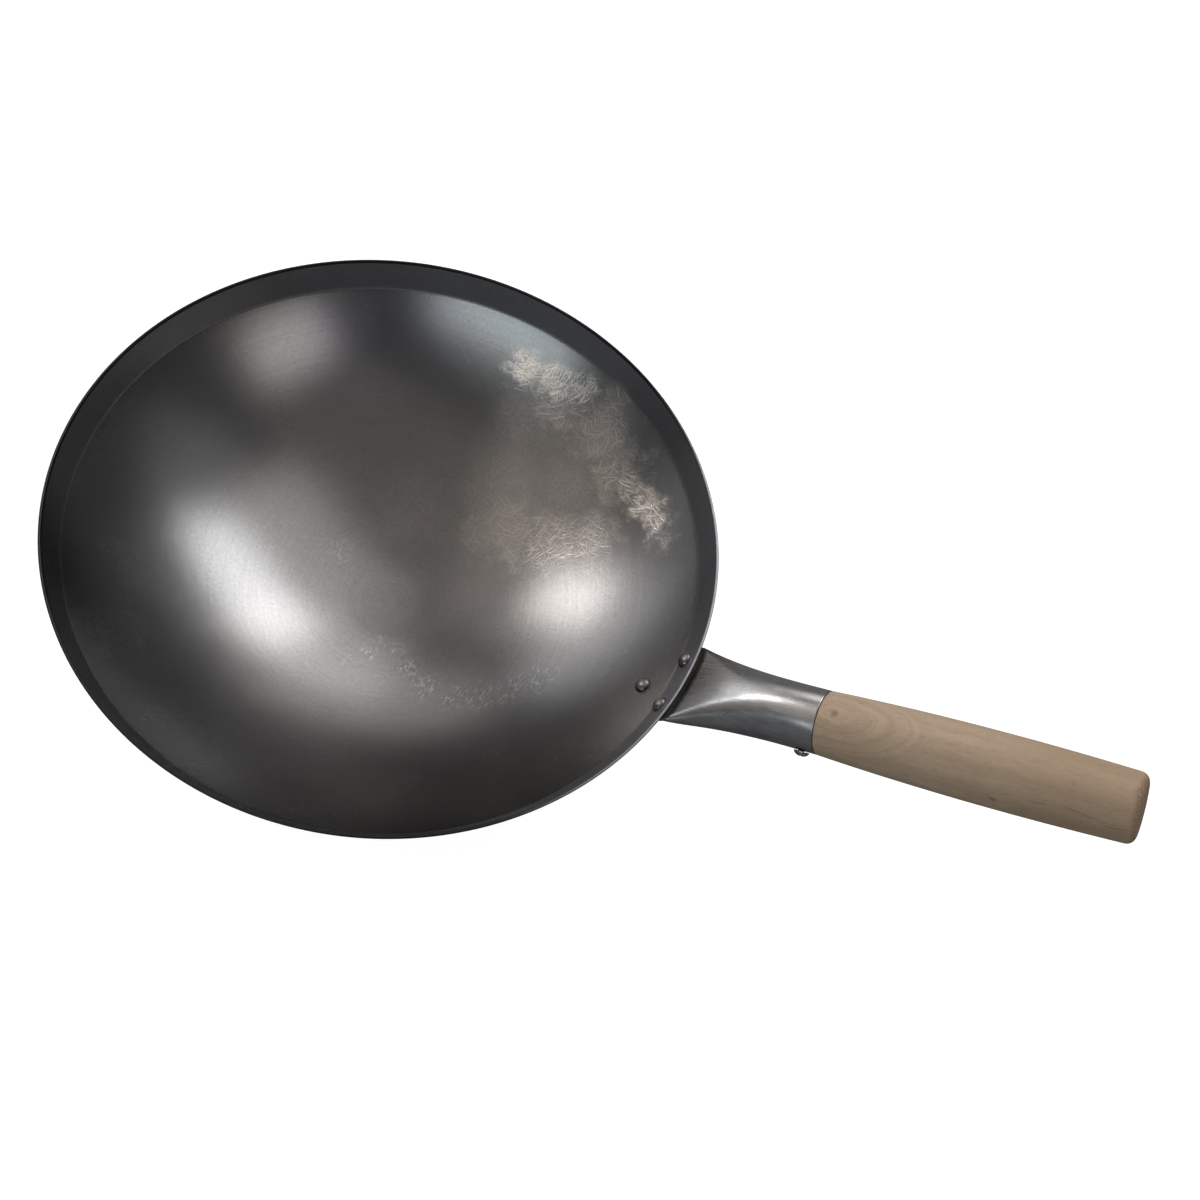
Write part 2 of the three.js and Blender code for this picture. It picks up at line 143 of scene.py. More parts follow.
# Soft lights round the bowl: azimuth and elevation, then width and height as seen from the bowl, all in
# degrees, then brightness and colour
LIGHT_DISTANCE = 1.6
LIGHT_AIM = Vector((0, 0, 0.05))
PLAIN_WHITE = (0.99, 0.99, 1.0)
WARM_WHITE = (1.0, 0.96, 0.93)
AMBER_WHITE = (1.0, 0.90, 0.82)
COOL_WHITE = (0.90, 0.97, 1.0)
SOFT_LIGHTS = {
    "back_right": (74, 43, 32, 16, 5.5, PLAIN_WHITE),
    "right_low": (36, 36, 20, 22, 0.30, PLAIN_WHITE),
    "back_middle": (101, 40, 32, 20, 1.75, WARM_WHITE),
    "back_low": (117, 28, 38, 20, 0.9, WARM_WHITE),
    "back_high": (72, 64, 44, 20, 1.0, WARM_WHITE),
    "back_left": (170, 35, 13, 18, 6.6, WARM_WHITE),
    "left_low": (160, 16, 28, 28, 1.45, PLAIN_WHITE),
    "left_far": (188, 14, 24, 20, 0.45, PLAIN_WHITE),
    "left_high": (192, 49, 60, 38, 0.5, AMBER_WHITE),
    "front_left": (267, 32, 42, 15, 2.6, COOL_WHITE),
    "front_low": (270, 5, 70, 6, 0.2, COOL_WHITE),
    "front_right": (344, 39, 22, 16, 2.2, WARM_WHITE),
    "ceiling": (0, 90, 64, 64, 0.25, AMBER_WHITE),
}

# The room's shade by how high a direction points, from straight down at -1 to level at 0: the wok's own
# shade below it, a grey floor nearly out to the horizon, and a dark room above that
ROOM_BELOW = (0.08, 0.08, 0.082, 1)
ROOM_FLOOR = (0.19, 0.19, 0.195, 1)
ROOM_ABOVE = (0.07, 0.07, 0.072, 1)
FLOOR_NEAR = -0.4
FLOOR_FAR = -0.1

# The floor, which sweeps up into the walls
ROOM_RADIUS = 4.0
ROOM_HEIGHT = 3.0
SWEEP_RADIUS = 1.5
SWEEP_STEPS = 16
ROOM_SIDES = 64
FLOOR_WHITE = (0.30, 0.30, 0.30, 1)
FLOOR_SHADE = (0.29, 0.29, 0.29, 1)
FLOOR_GLOW = 0.93

# Colours of the bowl
BARE_STEEL = (0.202, 0.200, 0.199, 1)
GREEN_STEEL = (0.214, 0.230, 0.240, 1)
BLUE_STEEL = (0.204, 0.204, 0.222, 1)
PAINTED_SHEEN_STEEL = (0.270, 0.285, 0.300, 1)
BAND_STEEL = (0.262, 0.265, 0.290, 1)
CREASE_WEAR_AND_HIGHLIGHT = (0.50, 0.50, 0.49, 1)
RIM_SHADE_STEEL = (0.035, 0.034, 0.035, 1)
DRIED_OIL = (0.92, 0.83, 0.75, 1)

# Colours of the other pieces
SOCKET_STEEL = (0.480, 0.477, 0.477, 1)
SOCKET_BROWNED_SHADE = (0.28, 0.260, 0.243, 1)
SOCKET_COOL_SHADE = (0.33, 0.337, 0.35, 1)
SOCKET_PIT = (0.12, 0.11, 0.10, 1)
RIVET_DARK = (0.14, 0.136, 0.133, 1)
RIVET_LIGHT = (0.24, 0.234, 0.229, 1)
SCREW_DARK = (0.24, 0.22, 0.19, 1)
SCREW_LIGHT = (0.60, 0.57, 0.52, 1)
WOOD_DARK = (0.41, 0.310, 0.218, 1)
WOOD_LIGHT = (0.51, 0.396, 0.288, 1)
WOOD_CLOUD = (0.44, 0.335, 0.234, 1)
WOOD_FAR_SHADE = (0.34, 0.245, 0.160, 1)
WOOD_PORE = (0.21, 0.145, 0.092, 1)
WOOD_MARK = (0.15, 0.090, 0.050, 1)

# Height of the relief in each finish, and of the ripples and needles of the bowl as a multiple of its own
BOWL_RELIEF = 0.000004
SOCKET_RELIEF = 0.000006
RIVET_RELIEF = 0.00003
SCREW_RELIEF = 0.00002
WOOD_RELIEF = 0.00002
RIPPLE_HEIGHT = 14.0
NEEDLE_HEIGHT = 20.0

# Spots on the bowl's wall: turn about the axis in degrees, distance from the axis, reach and strength.
# A spot is at full strength over a share of its reach, and noise moves its edge about.
SPOT_CORE = 0.2
TINT_CORE = 0.3
EDGE_SCALE = 110
FILM_EDGE = 0.026
RIPPLE_EDGE = 0.010

# Dried oil: a thick patch under the crease, one nearer the handle, and thin film between and below them
FILM_SPOTS = (
    (91, 0.155, 0.019, 1.00),
    (84, 0.158, 0.020, 0.90),
    (77, 0.160, 0.020, 0.68),
    (79, 0.148, 0.031, 0.52),
    (67, 0.154, 0.034, 0.58),
    (69, 0.166, 0.022, 0.55),
    (87, 0.134, 0.030, 0.32),
    (55, 0.164, 0.009, 0.50),
    (57, 0.147, 0.028, 0.60),
    (52, 0.151, 0.018, 0.75),
    (47, 0.155, 0.018, 0.95),
    (42, 0.157, 0.018, 0.95),
    (36, 0.157, 0.013, 0.55),
    (108, 0.063, 0.040, 0.24),
    (79, 0.092, 0.046, 0.27),
    (65, 0.086, 0.038, 0.40),
    (51, 0.102, 0.034, 0.50),
    (45, 0.124, 0.030, 0.48),
    (63, 0.127, 0.032, 0.32),
    (72, 0.069, 0.024, 0.34),
    (53, 0.077, 0.018, 0.40),
    (46, 0.100, 0.008, 0.59),
    (43, 0.108, 0.009, 0.66),
)
FILM_VEIL = 0.17

# Needle strokes of the film: which way each layer lies in degrees, how long its strokes are and how far
# apart. They are drawn in a plane that lies along the wall in the middle of the film, and bend a little.
STROKE_LAYERS = (
    (15, 0.013, 0.0050),
    (50, 0.011, 0.0044),
    (85, 0.014, 0.0058),
    (120, 0.010, 0.0042),
    (155, 0.012, 0.0048),
    (35, 0.020, 0.0085),
    (105, 0.018, 0.0080),
)
STROKE_WIDTH = 0.0008
STROKE_SWING = math.radians(50)
STROKE_BEND = 0.003
STROKE_BEND_SCALE = 90
FILM_AZIMUTH = math.radians(66)
FILM_TILT = math.radians(34)

# Fine scratches all over the bowl, in layers that lie different ways
SCRATCH_DEGREES = (20, 80, 140)
SCRATCH_LENGTH = 0.030
SCRATCH_SPACING = 0.022
SCRATCH_WIDTH = 0.00016
SCRATCH_TONE = 0.10

# Ripples in the wall, which raise relief and lighten the colour as painted glints: a faint patch, and a bent
# strip on the side away from the film
RIPPLE_SPOTS = (
    (167, 0.044, 0.012, 0.5),
    (-85, 0.051, 0.008, 0.6),
    (-77, 0.040, 0.008, 0.8),
    (-67, 0.030, 0.008, 0.6),
    (-52, 0.036, 0.009, 0.6),
    (-45, 0.050, 0.011, 0.8),
    (-40, 0.066, 0.013, 1.0),
    (-32, 0.079, 0.014, 1.0),
    (-22, 0.088, 0.016, 1.0),
    (-13, 0.096, 0.018, 1.0),
    (-4, 0.106, 0.018, 0.7),
)
RIPPLE_GLINT_TONE = 0.55

# Heat tints under the crease, and a pale bluish painted sheen beside them. Each span below says where
# something starts and where it is full.
GREEN_SPOT = (87, 0.170, 0.080, 0.5)
GREEN_RADIUS_SPAN = (0.155, 0.168)
BLUE_SPOT = (128, 0.160, 0.070, 0.8)
PAINTED_SHEEN_SPOT = (62, 0.170, 0.045, 0.8)

# Painted shade darkens the wall on one side of the bowl, and painted light makes the band lighter and the
# rim's painted shade less dark on another
PAINTED_SHADE_WAY = (-0.12, -0.99, 0.35)
PAINTED_SHADE_SPAN = (0.115, 0.17)
PAINTED_SHADE_TONE = -0.60
PAINTED_LIGHT_WAY = (0.98, 0.20, 0)
PAINTED_LIGHT_SPAN = (0.10, 0.17)
PAINTED_LIGHT_TONE = 0.35

# Faint rings left in the bottom by the spinning, the worn line of the crease with a painted highlight, and
# the rim's edge with its painted shade, measured down from its top
RING_RADII = (0.0235, 0.0415, 0.0500)
RING_WIDTH = 0.0012
RING_TONE = -0.04
CREASE_LINE = 0.0006
RIM_SHADE_SPAN = (0.0020, 0.0010)

# The socket is browned and darkened by painted shade along its first stretch from the bend, and bluer and
# darker with painted shade on its -Y side
BROWNED_SHADE_SPAN = (0.040, 0.008)
COOL_SHADE_SPAN = (0.0, 0.014)

# Marks in the wood, in the handle's own frame: a small knot with curls of grain round it, a dark fleck and
# brown lines as their turn about the handle in degrees and where they start and end, and painted shade
# towards the far end.
# The grain bends a little everywhere.
GRAIN_BEND = 0.006
GRAIN_BEND_SCALE = 55
KNOT = Vector((0.0163, 0.0039, 0.0884))
KNOT_STRETCH = Vector((1, 1, 0.45))
KNOT_SPAN = (0.0032, 0.0006)
CURL_SPAN = (0.028, 0.010)
FLECK = Vector((0.0044, 0.0173, 0.1702))
FLECK_STRETCH = Vector((1, 1, 0.4))
FLECK_SPAN = (0.0013, 0.0005)
FAR_SHADE_SPAN = (0.14, 0.21)
BROWN_LINES = ((60, 0.199, 0.215), (71, 0.215, 0.2285), (66, 0.184, 0.193))
BROWN_LINE_SPAN = (0.0005, 0.0001)


def spread(start, end, count):
    """Evenly spaced values from start to end, with count steps between them."""
    return [start + (end - start) * i / count for i in range(count + 1)]


def polar(radius, angle, height):
    """A point by its distance from the Z axis, its turn about it and its height."""
    return Vector((radius * math.cos(angle), radius * math.sin(angle), height))


# Meshes

def turned(outline, sides):
    """Vertices and faces of a solid turned about +Z. The outline has (radius, height) points that start and
    end on the axis."""
    vertices = [Vector((0, 0, outline[0][1])), Vector((0, 0, outline[-1][1]))]
    faces = []
    rings = []
    for radius, height in outline[1:-1]:
        rings.append(len(vertices))
        vertices += [polar(radius, 2 * math.pi * i / sides, height) for i in range(sides)]
    for i in range(sides):
        after = (i + 1) % sides
        faces.append((0, rings[0] + after, rings[0] + i))
        faces.append((1, rings[-1] + i, rings[-1] + after))
        for low, high in zip(rings, rings[1:]):
            faces.append((low + i, low + after, high + after, high + i))
    return vertices, faces


def skin(rings):
    """Vertices and faces of a closed skin over rings of equally many points, with a fan over each end."""
    count = len(rings[0])
    vertices = [point for ring in rings for point in ring]
    faces = []
    for start in range(0, len(vertices) - count, count):
        for i in range(count):
            after = (i + 1) % count
            faces.append((start + i, start + after, start + count + after, start + count + i))
    for ring, start in ((rings[0], 0), (rings[-1], len(vertices) - count)):
        vertices.append(sum(ring, Vector()) / count)
        faces.extend((len(vertices) - 1, start + i, start + (i + 1) % count) for i in range(count))
    return vertices, faces


def add_object(name, shape, place=Matrix()):
    """A smooth mesh object with its faces pointing out."""
    vertices, faces = shape
    mesh = bpy.data.meshes.new(name)
    mesh.from_pydata([tuple(vertex) for vertex in vertices], [], faces)
    edit = bmesh.new()
    edit.from_mesh(mesh)
    bmesh.ops.recalc_face_normals(edit, faces=edit.faces)
    edit.to_mesh(mesh)
    edit.free()
    mesh.shade_smooth()
    made = bpy.data.objects.new(name, mesh)
    bpy.context.collection.objects.link(made)
    made.matrix_world = place
    return made


def dress(piece, node, material):
    """Puts a finished piece in the place of its CAD node."""
    piece.data.materials.clear()
    piece.data.materials.append(material)
    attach(piece, "root")
    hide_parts(node)


def frame_at(point, direction):
    """A frame at a point, with its own +Z along a direction."""
    turn = Vector((0, 0, 1)).rotation_difference(direction)
    return Matrix.Translation(point) @ turn.to_matrix().to_4x4()


def bezier(start, corner, end, count):
    """Points of a soft corner: a quadratic curve from start to end, pulled towards the corner."""
    return [
        start * (1 - t) ** 2 + corner * (2 * t * (1 - t)) + end * t ** 2
        for t in spread(0, 1, count)
    ]


# The wall of the bowl, in the upright plane through the handle as (radius, height)

rim_height = SHEET + BOWL_DEPTH
band_up = Vector((math.sin(BAND_LEAN), math.cos(BAND_LEAN)))
band_out = Vector((band_up.y, -band_up.x))
rim_rounding = SHEET / 2
rim_middle = Vector((RIM_DIAMETER / 2 - rim_rounding, rim_height - rim_rounding))
band_foot = rim_middle - band_out * rim_rounding
crease = band_foot - band_up * ((band_foot.y - rim_height + BAND_HEIGHT) / band_up.y)
flat_radius = BASE_FLAT_DIAMETER / 2
centre_height = (crease.x ** 2 - flat_radius ** 2 + crease.y ** 2 - SHEET ** 2) / (2 * (crease.y - SHEET))
bowl_centre = Vector((0, centre_height))
bowl_radius = math.hypot(flat_radius, centre_height - SHEET)


def angle_of(point):
    """Angle round the bowl's centre, from straight down."""
    return math.atan2(point.x, centre_height - point.y)


def on_arc(radius, angle):
    """A point at a distance from the bowl's centre, by its angle from straight down."""
    return Vector((radius * math.sin(angle), centre_height - radius * math.cos(angle)))


def on_wall(degrees, radius):
    """A point of the wall's inner face, by its turn about the axis and its distance from it."""
    height = on_arc(bowl_radius, math.asin(radius / bowl_radius)).y
    return polar(radius, math.radians(degrees), height)


def crease_at(offset):
    """Where the spherical wall and the band meet, at a distance outside the inner face."""
    start = crease + band_out * offset
    from_centre = start - bowl_centre
    along = from_centre.dot(band_up)
    excess = from_centre.length_squared - (bowl_radius + offset) ** 2
    return start - band_up * (along + math.sqrt(along ** 2 - excess))


def wall_points(offset, dish):
    """The face of the wall at a distance outside the inner face, from the axis up to the rim's rounding.
    dish is how much of the wall's roundness the bottom keeps: 0 for a flat, 1 for a plain ball."""
    radius = bowl_radius + offset
    level = SHEET - offset
    sag = dish * (radius - centre_height + level)
    edge = Vector((math.sqrt(radius ** 2 - (centre_height - level) ** 2), level))
    corner = crease_at(offset)
    arc_start = angle_of(edge) + FLAT_EDGE_SOFTNESS / radius
    arc_end = angle_of(corner) - CREASE_SOFTNESS / radius
    band_start = corner + band_up * CREASE_SOFTNESS
    band_end = rim_middle + band_out * (offset - rim_rounding)
    bottom = [
        Vector((edge.x * share, level - sag * (1 - share ** 2)))
        for share in spread(0, 1 - FLAT_EDGE_SOFTNESS / edge.x, BOTTOM_STEPS)
    ]
    points = bottom[:-1] + bezier(bottom[-1], edge, on_arc(radius, arc_start), SOFT_STEPS)
    points += [on_arc(radius, angle) for angle in spread(arc_start, arc_end, ARC_STEPS)][1:-1]
    points += bezier(on_arc(radius, arc_end), corner, band_start, SOFT_STEPS)
    points += [band_start.lerp(band_end, share) for share in spread(0, 1, BAND_STEPS)][1:-1]
    return points


def bowl_outline():
    """The section of the bowl: up its outside, over the rounded rim and down its inside."""
    rim = [
        rim_middle + band_out * (rim_rounding * math.cos(angle)) + band_up * (rim_rounding * math.sin(angle))
        for angle in spread(0, math.pi, RIM_STEPS)
    ]
    return wall_points(SHEET, 0) + rim + wall_points(0, INSIDE_DISH)[::-1]


# Rivets

tongue_thickness = 2 * SOCKET_WALL
tail_seat = SHEET + SEAT_GAP + tongue_thickness + SEAT_GAP
upper_row = crease + band_up * UPPER_RIVET_RISE
lower_angle = angle_of(crease) - LOWER_RIVET_DROP / bowl_radius
lower_point = on_arc(bowl_radius, lower_angle)
lower_out = Vector((math.sin(lower_angle), -math.cos(lower_angle)))
upper_turn = UPPER_RIVET_SPACING / 2 / upper_row.x


def rivet_frame(point, outward, turn):
    """The frame of a rivet, with its own +Z out through the wall, turned round the bowl by an angle."""
    spin = Matrix.Rotation(turn, 4, "Z")
    return frame_at(spin @ Vector((point.x, 0, point.y)), spin @ Vector((outward.x, 0, outward.y)))


rivet_frames = {
    "rivet_upper_left": rivet_frame(upper_row, band_out, upper_turn),
    "rivet_upper_right": rivet_frame(upper_row, band_out, -upper_turn),
    "rivet_lower": rivet_frame(lower_point, lower_out, 0),
}


def dome(diameter, height, seat):
    """Outline of a full dome, half of an ellipse, from its edge to its crown, standing on a seat."""
    return [
        (diameter / 2 * math.cos(angle), seat + height * math.sin(angle))
        for angle in spread(0, math.pi / 2, DOME_STEPS)
    ]


def hammered(vertices, diameter, height, seat, side, first_turn):
    """Flattens a dome with hammer marks. side is 1 for a dome above its seat and -1 for one below it."""
    marks = []
    for i in range(HAMMER_MARKS):
        turn = first_turn + HAMMER_TURN * i
        tilt = HAMMER_TILT * math.sqrt(i / HAMMER_MARKS)
        depth = HAMMER_DEPTH * (0.4 + 0.6 * i / HAMMER_MARKS)
        marks.append((polar(math.sin(tilt), turn, math.cos(tilt)), 1 - depth))
    for vertex in vertices:
        if side * vertex.z <= seat:
            continue
        rise = (side * vertex.z - seat) / height
        on_ball = Vector((2 * vertex.x / diameter, 2 * vertex.y / diameter, rise))
        for out, reach in marks:
            over = on_ball.dot(out) - reach
            if over > 0:
                on_ball -= out * over
        vertex.xy = on_ball.xy * (diameter / 2)
        vertex.z = side * (seat + on_ball.z * height)


def rivet_shape(first_turn):
    """A rivet, head inside the bowl and tail behind the tongue. first_turn turns the hammer marks."""
    shank = RIVET_SHANK_DIAMETER / 2
    tail = dome(RIVET_TAIL_DIAMETER, RIVET_TAIL_HEIGHT, tail_seat)
    head = [(radius, -height) for radius, height in dome(RIVET_HEAD_DIAMETER, RIVET_HEAD_HEIGHT, SEAT_GAP)]
    outline = head[::-1] + [(shank, -SEAT_GAP), (shank, tail_seat)] + tail
    vertices, faces = turned(outline, RIVET_SIDES)
    hammered(vertices, RIVET_HEAD_DIAMETER, RIVET_HEAD_HEIGHT, SEAT_GAP, -1, first_turn)
    hammered(vertices, RIVET_TAIL_DIAMETER, RIVET_TAIL_HEIGHT, tail_seat, 1, first_turn + HAMMER_TURN / 2)
    return vertices, faces


# The socket's middle line: up the outside of the wall, round a bend, then along the handle

flat_half = tongue_thickness / 2
line_offset = SHEET + SEAT_GAP + flat_half
line_radius = bowl_radius + line_offset
line_crease = crease_at(line_offset)
handle_along = Vector((math.cos(HANDLE_RISE), math.sin(HANDLE_RISE)))
handle_up = Vector((-handle_along.y, handle_along.x))
bend_corner = upper_row + band_out * line_offset + band_up * BEND_ABOVE_RIVETS
bend_turn = math.acos(band_up.dot(handle_along))
bend_tangent = BEND_RADIUS * math.tan(bend_turn / 2)
bend_start = bend_corner - band_up * bend_tangent
bend_middle = bend_start + band_out * BEND_RADIUS
quarter_girth = math.pi * SOCKET_DIAMETER / 4


def flat_stretch(half_height):
    """Half the flat stretch of a tube pressed to a half height, with the tube's girth kept."""
    return quarter_girth - math.pi * half_height / 2


def tube_half_height(distance):
    """Half height of the tube at a distance along the handle from the end of the bend."""
    share = min(max(distance / FLATTENED_LENGTH, 0), 1)
    return flat_half + (SOCKET_DIAMETER / 2 - flat_half) * (1 - (1 - share) ** 2)


arc_above_rivet = line_radius * (angle_of(line_crease) - lower_angle)
tongue_reach = arc_above_rivet + (bend_start - line_crease).length
full_half_width = flat_stretch(flat_half) + flat_half
tongue_flare = (
    math.acos(TONGUE_TIP_RADIUS / math.hypot(full_half_width, tongue_reach))
    - math.atan2(tongue_reach, full_half_width)
)


def tongue_half_width(reach):
    """Half width of the tongue at a distance above the lower rivet, where its sides run straight."""
    return TONGUE_TIP_RADIUS / math.cos(tongue_flare) + reach * math.tan(tongue_flare)


def station(
    point, normal, half_width, half_height,
    bow=1.0, stretch=1.0, groove=LAYER_GROOVE_DEPTH, oval=0.0,
):
    """One station of the socket: where it is on the middle line, and the sizes of its section. bow is how far
    it follows the bowl round, and stretch how much a slanted section is lengthened."""
    return {
        "point": point, "normal": normal, "flat": half_width - half_height, "half_height": half_height,
        "bow": bow, "stretch": stretch, "groove": groove, "oval": oval,
    }


def arc_station(reach, half_width):
    angle = lower_angle + reach / line_radius
    normal = Vector((-math.sin(angle), math.cos(angle)))
    return station(on_arc(line_radius, angle), normal, half_width, flat_half)


def tongue_stations():
    tip_end = math.pi / 2 - tongue_flare
    stations = [
        arc_station(-TONGUE_TIP_RADIUS * math.cos(angle), TONGUE_TIP_RADIUS * math.sin(angle))
        for angle in spread(TIP_START, tip_end, TIP_STEPS)
    ]
    straight_start = -TONGUE_TIP_RADIUS * math.cos(tip_end)
    for reach in spread(straight_start, arc_above_rivet, TONGUE_STEPS)[1:-1]:
        stations.append(arc_station(reach, tongue_half_width(reach)))
    crease_angle = angle_of(line_crease)
    arc_normal = Vector((-math.sin(crease_angle), math.cos(crease_angle)))
    mitre = (arc_normal - band_out).normalized()
    width = tongue_half_width(arc_above_rivet)
    stations.append(station(line_crease, mitre, width, flat_half, stretch=-1 / mitre.dot(band_out)))
    return stations


def bend_stations():
    stations = []
    for angle in spread(0, bend_turn, BEND_STEPS):
        normal = Matrix.Rotation(-angle, 2) @ -band_out
        stations.append(station(bend_middle + normal * BEND_RADIUS, normal, full_half_width, flat_half))
    return stations


def tube_station(distance):
    """A station of the tube, at a distance along the handle from the corner of the bend."""
    from_bend = distance - bend_tangent
    half_height = tube_half_height(from_bend)
    bow = (1 - min(max(from_bend / BOW_FADE_LENGTH, 0), 1)) ** 2
    groove = LAYER_GROOVE_DEPTH * (1 - min(max(from_bend / LAYER_GROOVE_FADE, 0), 1))
    half_width = flat_stretch(half_height) + half_height
    oval = OVAL_SHARE * min(max(from_bend / OVAL_EASE_LENGTH, 0), 1)
    point = bend_corner + handle_along * distance
    return station(point, handle_up, half_width, half_height, bow, 1.0, groove, oval)


def quarter_point(flat, half_height, share, oval):
    """A point of a section's first quarter and the way out of the face there: round the side, then along the
    flat. oval is how far the section is eased towards an ellipse."""
    round_length = math.pi * half_height / 2
    length = share * (flat + round_length)
    if length <= round_length:
        out = Vector((math.cos(length / half_height), math.sin(length / half_height)))
        point = Vector((flat, 0)) + out * half_height
    else:
        out = Vector((0, 1))
        point = Vector((flat + round_length - length, half_height))
    half_width = flat + half_height
    slope = Vector((point.x / half_width ** 2, point.y / half_height ** 2))
    on_ellipse = point / math.hypot(point.x / half_width, point.y / half_height)
    return point.lerp(on_ellipse, oval), out.lerp(slope.normalized(), oval).normalized()


def ring_at(place, depth):
    """The ring of points of a station, drawn in by a depth from the outer face."""
    quarter = []
    for i in range(QUARTER_POINTS + 1):
        share = (i / QUARTER_POINTS) ** QUARTER_CROWDING
        point, out = quarter_point(place["flat"], place["half_height"], share, place["oval"])
        quarter.append(point - out * depth)
    quarter[0] -= Vector((place["groove"], 0))
    upper = quarter + [Vector((-point.x, point.y)) for point in quarter[-2::-1]]
    lower = [Vector((point.x, -point.y)) for point in upper[-2:0:-1]]
    ring = []
    for across, up in upper + lower:
        radius, height = place["point"] + place["normal"] * (up * place["stretch"])
        turn = place["bow"] * across / place["point"].x
        ring.append(Vector((
            radius * math.cos(turn), radius * math.sin(turn) + (1 - place["bow"]) * across, height,
        )))
    return ring


def socket_shape():
    """The socket's skin: from the tongue's tip out to the mouth, then back in along the hollow."""
    flare = [tube_station(bend_tangent + length) for length in spread(0, FLATTENED_LENGTH, FLARE_STEPS)[1:]]
    mouth = tube_station(SOCKET_LENGTH)
    rings = [ring_at(place, 0) for place in tongue_stations() + bend_stations() + flare]
    for angle in spread(0, math.pi / 2, SOFT_STEPS):
        along = SOCKET_LENGTH - MOUTH_ROUNDING * (1 - math.sin(angle))
        rings.append(ring_at(tube_station(along), MOUTH_ROUNDING * (1 - math.cos(angle))))
    hollow = [place for place in flare if 2 * (place["half_height"] - SOCKET_WALL) >= CAVITY_LEAST_HEIGHT]
    rings += [ring_at(place, SOCKET_WALL) for place in [mouth] + hollow[::-1]]
    return skin(rings)


# The handle's own frame: +Z along the handle from the bend, +X up, so +Y points to the world's -Y
handle_frame = Matrix((
    (handle_up.x, 0, handle_along.x, bend_corner.x),
    (0, -1, 0, 0),
    (handle_up.y, 0, handle_along.y, bend_corner.y),
    (0, 0, 0, 1),
))


def grip_outline():
    """The grip, with its peg shaped to the inside of the socket."""
    def peg_radius(along):
        return tube_half_height(along - bend_tangent) - SOCKET_WALL - PEG_CLEARANCE

    peg_start = SOCKET_LENGTH - PEG_LENGTH
    shoulder = SOCKET_LENGTH + SEAT_GAP
    end = SOCKET_LENGTH + GRIP_LENGTH
    start_radius = SOCKET_DIAMETER / 2
    end_radius = GRIP_END_DIAMETER / 2
    swell = GRIP_MIDDLE_DIAMETER / 2 - (start_radius + end_radius) / 2
    outline = [(0, peg_start), (peg_radius(peg_start) - PEG_CHAMFER, peg_start)]
    for along in spread(peg_start + PEG_CHAMFER, shoulder, SOFT_STEPS):
        outline.append((peg_radius(along), along))
    for angle in spread(0, math.pi / 2, SOFT_STEPS)[:-1]:
        outline.append((
            start_radius - SHOULDER_ROUNDING * (1 - math.sin(angle)),
            shoulder + SHOULDER_ROUNDING * (1 - math.cos(angle)),
        ))
    length = end - GRIP_END_ROUNDING - shoulder
    for share in spread(0, 1, GRIP_STEPS):
        along = max(share, SHOULDER_ROUNDING / length)
        radius = start_radius + (end_radius - start_radius) * along + swell * 4 * along * (1 - along)
        outline.append((radius, shoulder + length * along))
    for angle in spread(0, math.pi / 2, RIM_STEPS)[1:]:
        outline.append((
            end_radius - GRIP_END_ROUNDING * (1 - math.cos(angle)),
            end - GRIP_END_ROUNDING * (1 - math.sin(angle)),
        ))
    return outline + [(0, end)]


# The screw stands on the socket's outer face, with its own +Z out of the handle
screw_out = polar(1, SCREW_TURN, 0)
screw_seat = screw_out * (SOCKET_DIAMETER / 2 + SEAT_GAP) + Vector((0, 0, SOCKET_LENGTH - SCREW_INSET))
screw_frame = handle_frame @ frame_at(screw_seat, screw_out)


def thread_radius(height, angle):
    """Radius of the screw below its head: a ridge winds round a core that tapers to the point."""
    full = SCREW_SHANK_DIAMETER / 2
    taper = min((height + SCREW_LENGTH) / SCREW_POINT_LENGTH, 1)
    turn = (height / SCREW_PITCH - angle / (2 * math.pi)) % 1
    ridge = 1 - abs(2 * turn - 1)
    body = full - THREAD_DEPTH * (1 - ridge)
    return SCREW_TIP_DIAMETER / 2 + (body - SCREW_TIP_DIAMETER / 2) * taper


def screw_shape():
    angles = [2 * math.pi * i / SCREW_SIDES for i in range(SCREW_SIDES)]
    rings = []
    for height in spread(-SCREW_LENGTH, 0, THREAD_STEPS):
        rings.append([polar(thread_radius(height, angle), angle, height) for angle in angles])
    for radius, height in dome(SCREW_HEAD_DIAMETER, SCREW_HEAD_HEIGHT, 0)[:-1]:
        rings.append([polar(radius, angle, height) for angle in angles])
    return skin(rings)


def recess_shape():
    """A cross-shaped prism that stands up from the bottom of the screw's recess."""
    arm = RECESS_LENGTH / 2
    half = RECESS_WIDTH / 2
    quarter = [(arm, -half), (arm, half), (half, half)]
    outline = []
    for turn in range(4):
        spin = Matrix.Rotation(turn * math.pi / 2, 2)
        outline += [spin @ Vector(corner) for corner in quarter]
    low = SCREW_HEAD_HEIGHT - RECESS_DEPTH
    high = SCREW_HEAD_HEIGHT + RECESS_DEPTH
    rings = [[Vector((point.x, point.y, height)) for point in outline] for height in (low, high)]
    return skin(rings)


def add_screw():
    screw = add_object("handle_screw_look", screw_shape())
    cutter = add_object("recess_cutter", recess_shape())
    cut = screw.modifiers.new("recess", "BOOLEAN")
    cut.operation = "DIFFERENCE"
    cut.object = cutter
    screw.data = bpy.data.meshes.new_from_object(screw.evaluated_get(bpy.context.evaluated_depsgraph_get()))
    screw.modifiers.clear()
    bpy.data.objects.remove(cutter)
    screw.data.set_sharp_from_angle(angle=SHARP_ANGLE)
    screw.matrix_world = screw_frame
    return screw


# Finishes

